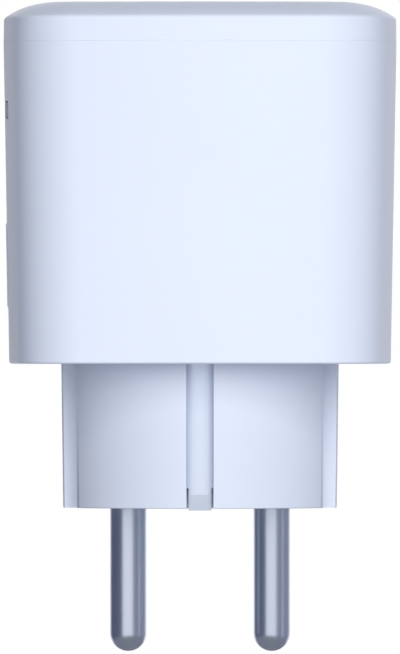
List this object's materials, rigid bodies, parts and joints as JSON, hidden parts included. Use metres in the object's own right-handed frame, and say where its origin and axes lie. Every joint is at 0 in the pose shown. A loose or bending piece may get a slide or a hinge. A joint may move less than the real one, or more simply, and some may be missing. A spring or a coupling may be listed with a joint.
{
  "type": "plug in power meter",
  "caption": "White plug-through power meter with a round earthed plug below, an earthed socket on top, a side push button and a slim indicator window.",
  "frame": {"origin": "middle of the plug's front face, between the pins", "axes": "+X along the line of the pins, away from the button; -Y is the side that the picture shows; +Z out of the socket, against the pins"},
  "size_m": [0.052, 0.052, 0.0857],
  "materials": {
    "shell_white": "smooth satin cool white",
    "plug_white": "smooth satin cool white",
    "button_white": "smooth satin cool white",
    "lens_grey": "frosted translucent grey",
    "nickel": "bright nickel plate",
    "contact_brass": "stamped strip",
    "board_green": "solder mask",
    "black_plastic": "moulded",
    "relay_black": "moulded case",
    "film_yellow": "moulded box",
    "can_aluminium": "drawn can",
    "varistor_blue": "dipped coating",
    "fuse_green": "coated body",
    "steel": "zinc plated",
    "shunt_alloy": "resistance alloy strip",
    "lamp_cream": "moulded lamp"
  },
  "bodies": {
    "meter": {"housing_shell": "shell_white", "socket_cover": "shell_white", "socket_floor": "shell_white", "shutter_retainer": "plug_white", "cassette_screw_back": "steel", "cassette_screw_front": "steel", "socket_contact_left": "contact_brass", "socket_contact_right": "contact_brass", "socket_earth_clip_back": "nickel", "socket_earth_clip_front": "nickel", "plug_base": "plug_white", "pin_left": "nickel", "pin_right": "nickel", "plug_earth_strip_back": "nickel", "plug_earth_strip_front": "nickel", "earth_bar": "contact_brass", "main_board": "board_green", "board_screw_front_left": "steel", "board_screw_front_right": "steel", "board_screw_back_left": "steel", "relay": "relay_black", "film_capacitor": "film_yellow", "transformer": "black_plastic", "bulk_capacitor": "can_aluminium", "output_capacitor": "can_aluminium", "line_inductor": "black_plastic", "varistor": "varistor_blue", "fuse_resistor": "fuse_green", "current_shunt": "shunt_alloy", "metering_chip": "black_plastic", "control_board": "board_green", "switch_body": "black_plastic", "indicator_light_pipe": "lens_grey", "indicator_lamp": "lamp_cream", "radio_module": "board_green", "radio_shield_can": "steel"},
    "button": {"push_button": "button_white"},
    "plunger": {"switch_plunger": "plug_white"},
    "shutter_plate": {"shutter": "plug_white", "shutter_spring_back": "steel", "shutter_spring_front": "steel"}
  },
  "joints": [
    {"name": "button_press", "type": "slide", "parent": "meter", "child": "button", "axis": [1, 0, 0], "range_m": [0, 0.0004], "stiffness_N_per_m": 2500, "springref_m": -0.0001},
    {"name": "plunger_press", "type": "slide", "parent": "meter", "child": "plunger", "axis": [1, 0, 0], "range_m": [0, 0.0004]},
    {"name": "shutter_turn", "type": "hinge", "parent": "meter", "child": "shutter_plate", "pos_m": [0, 0, 0.0461], "axis": [0, 0, 1], "range_deg": [0, 42], "stiffness_Nm_per_rad": 0.02, "springref_deg": -11.46}
  ],
  "couplings": [
    {"joint": "plunger_press", "follows": "button_press", "ratio": 1}
  ]
}
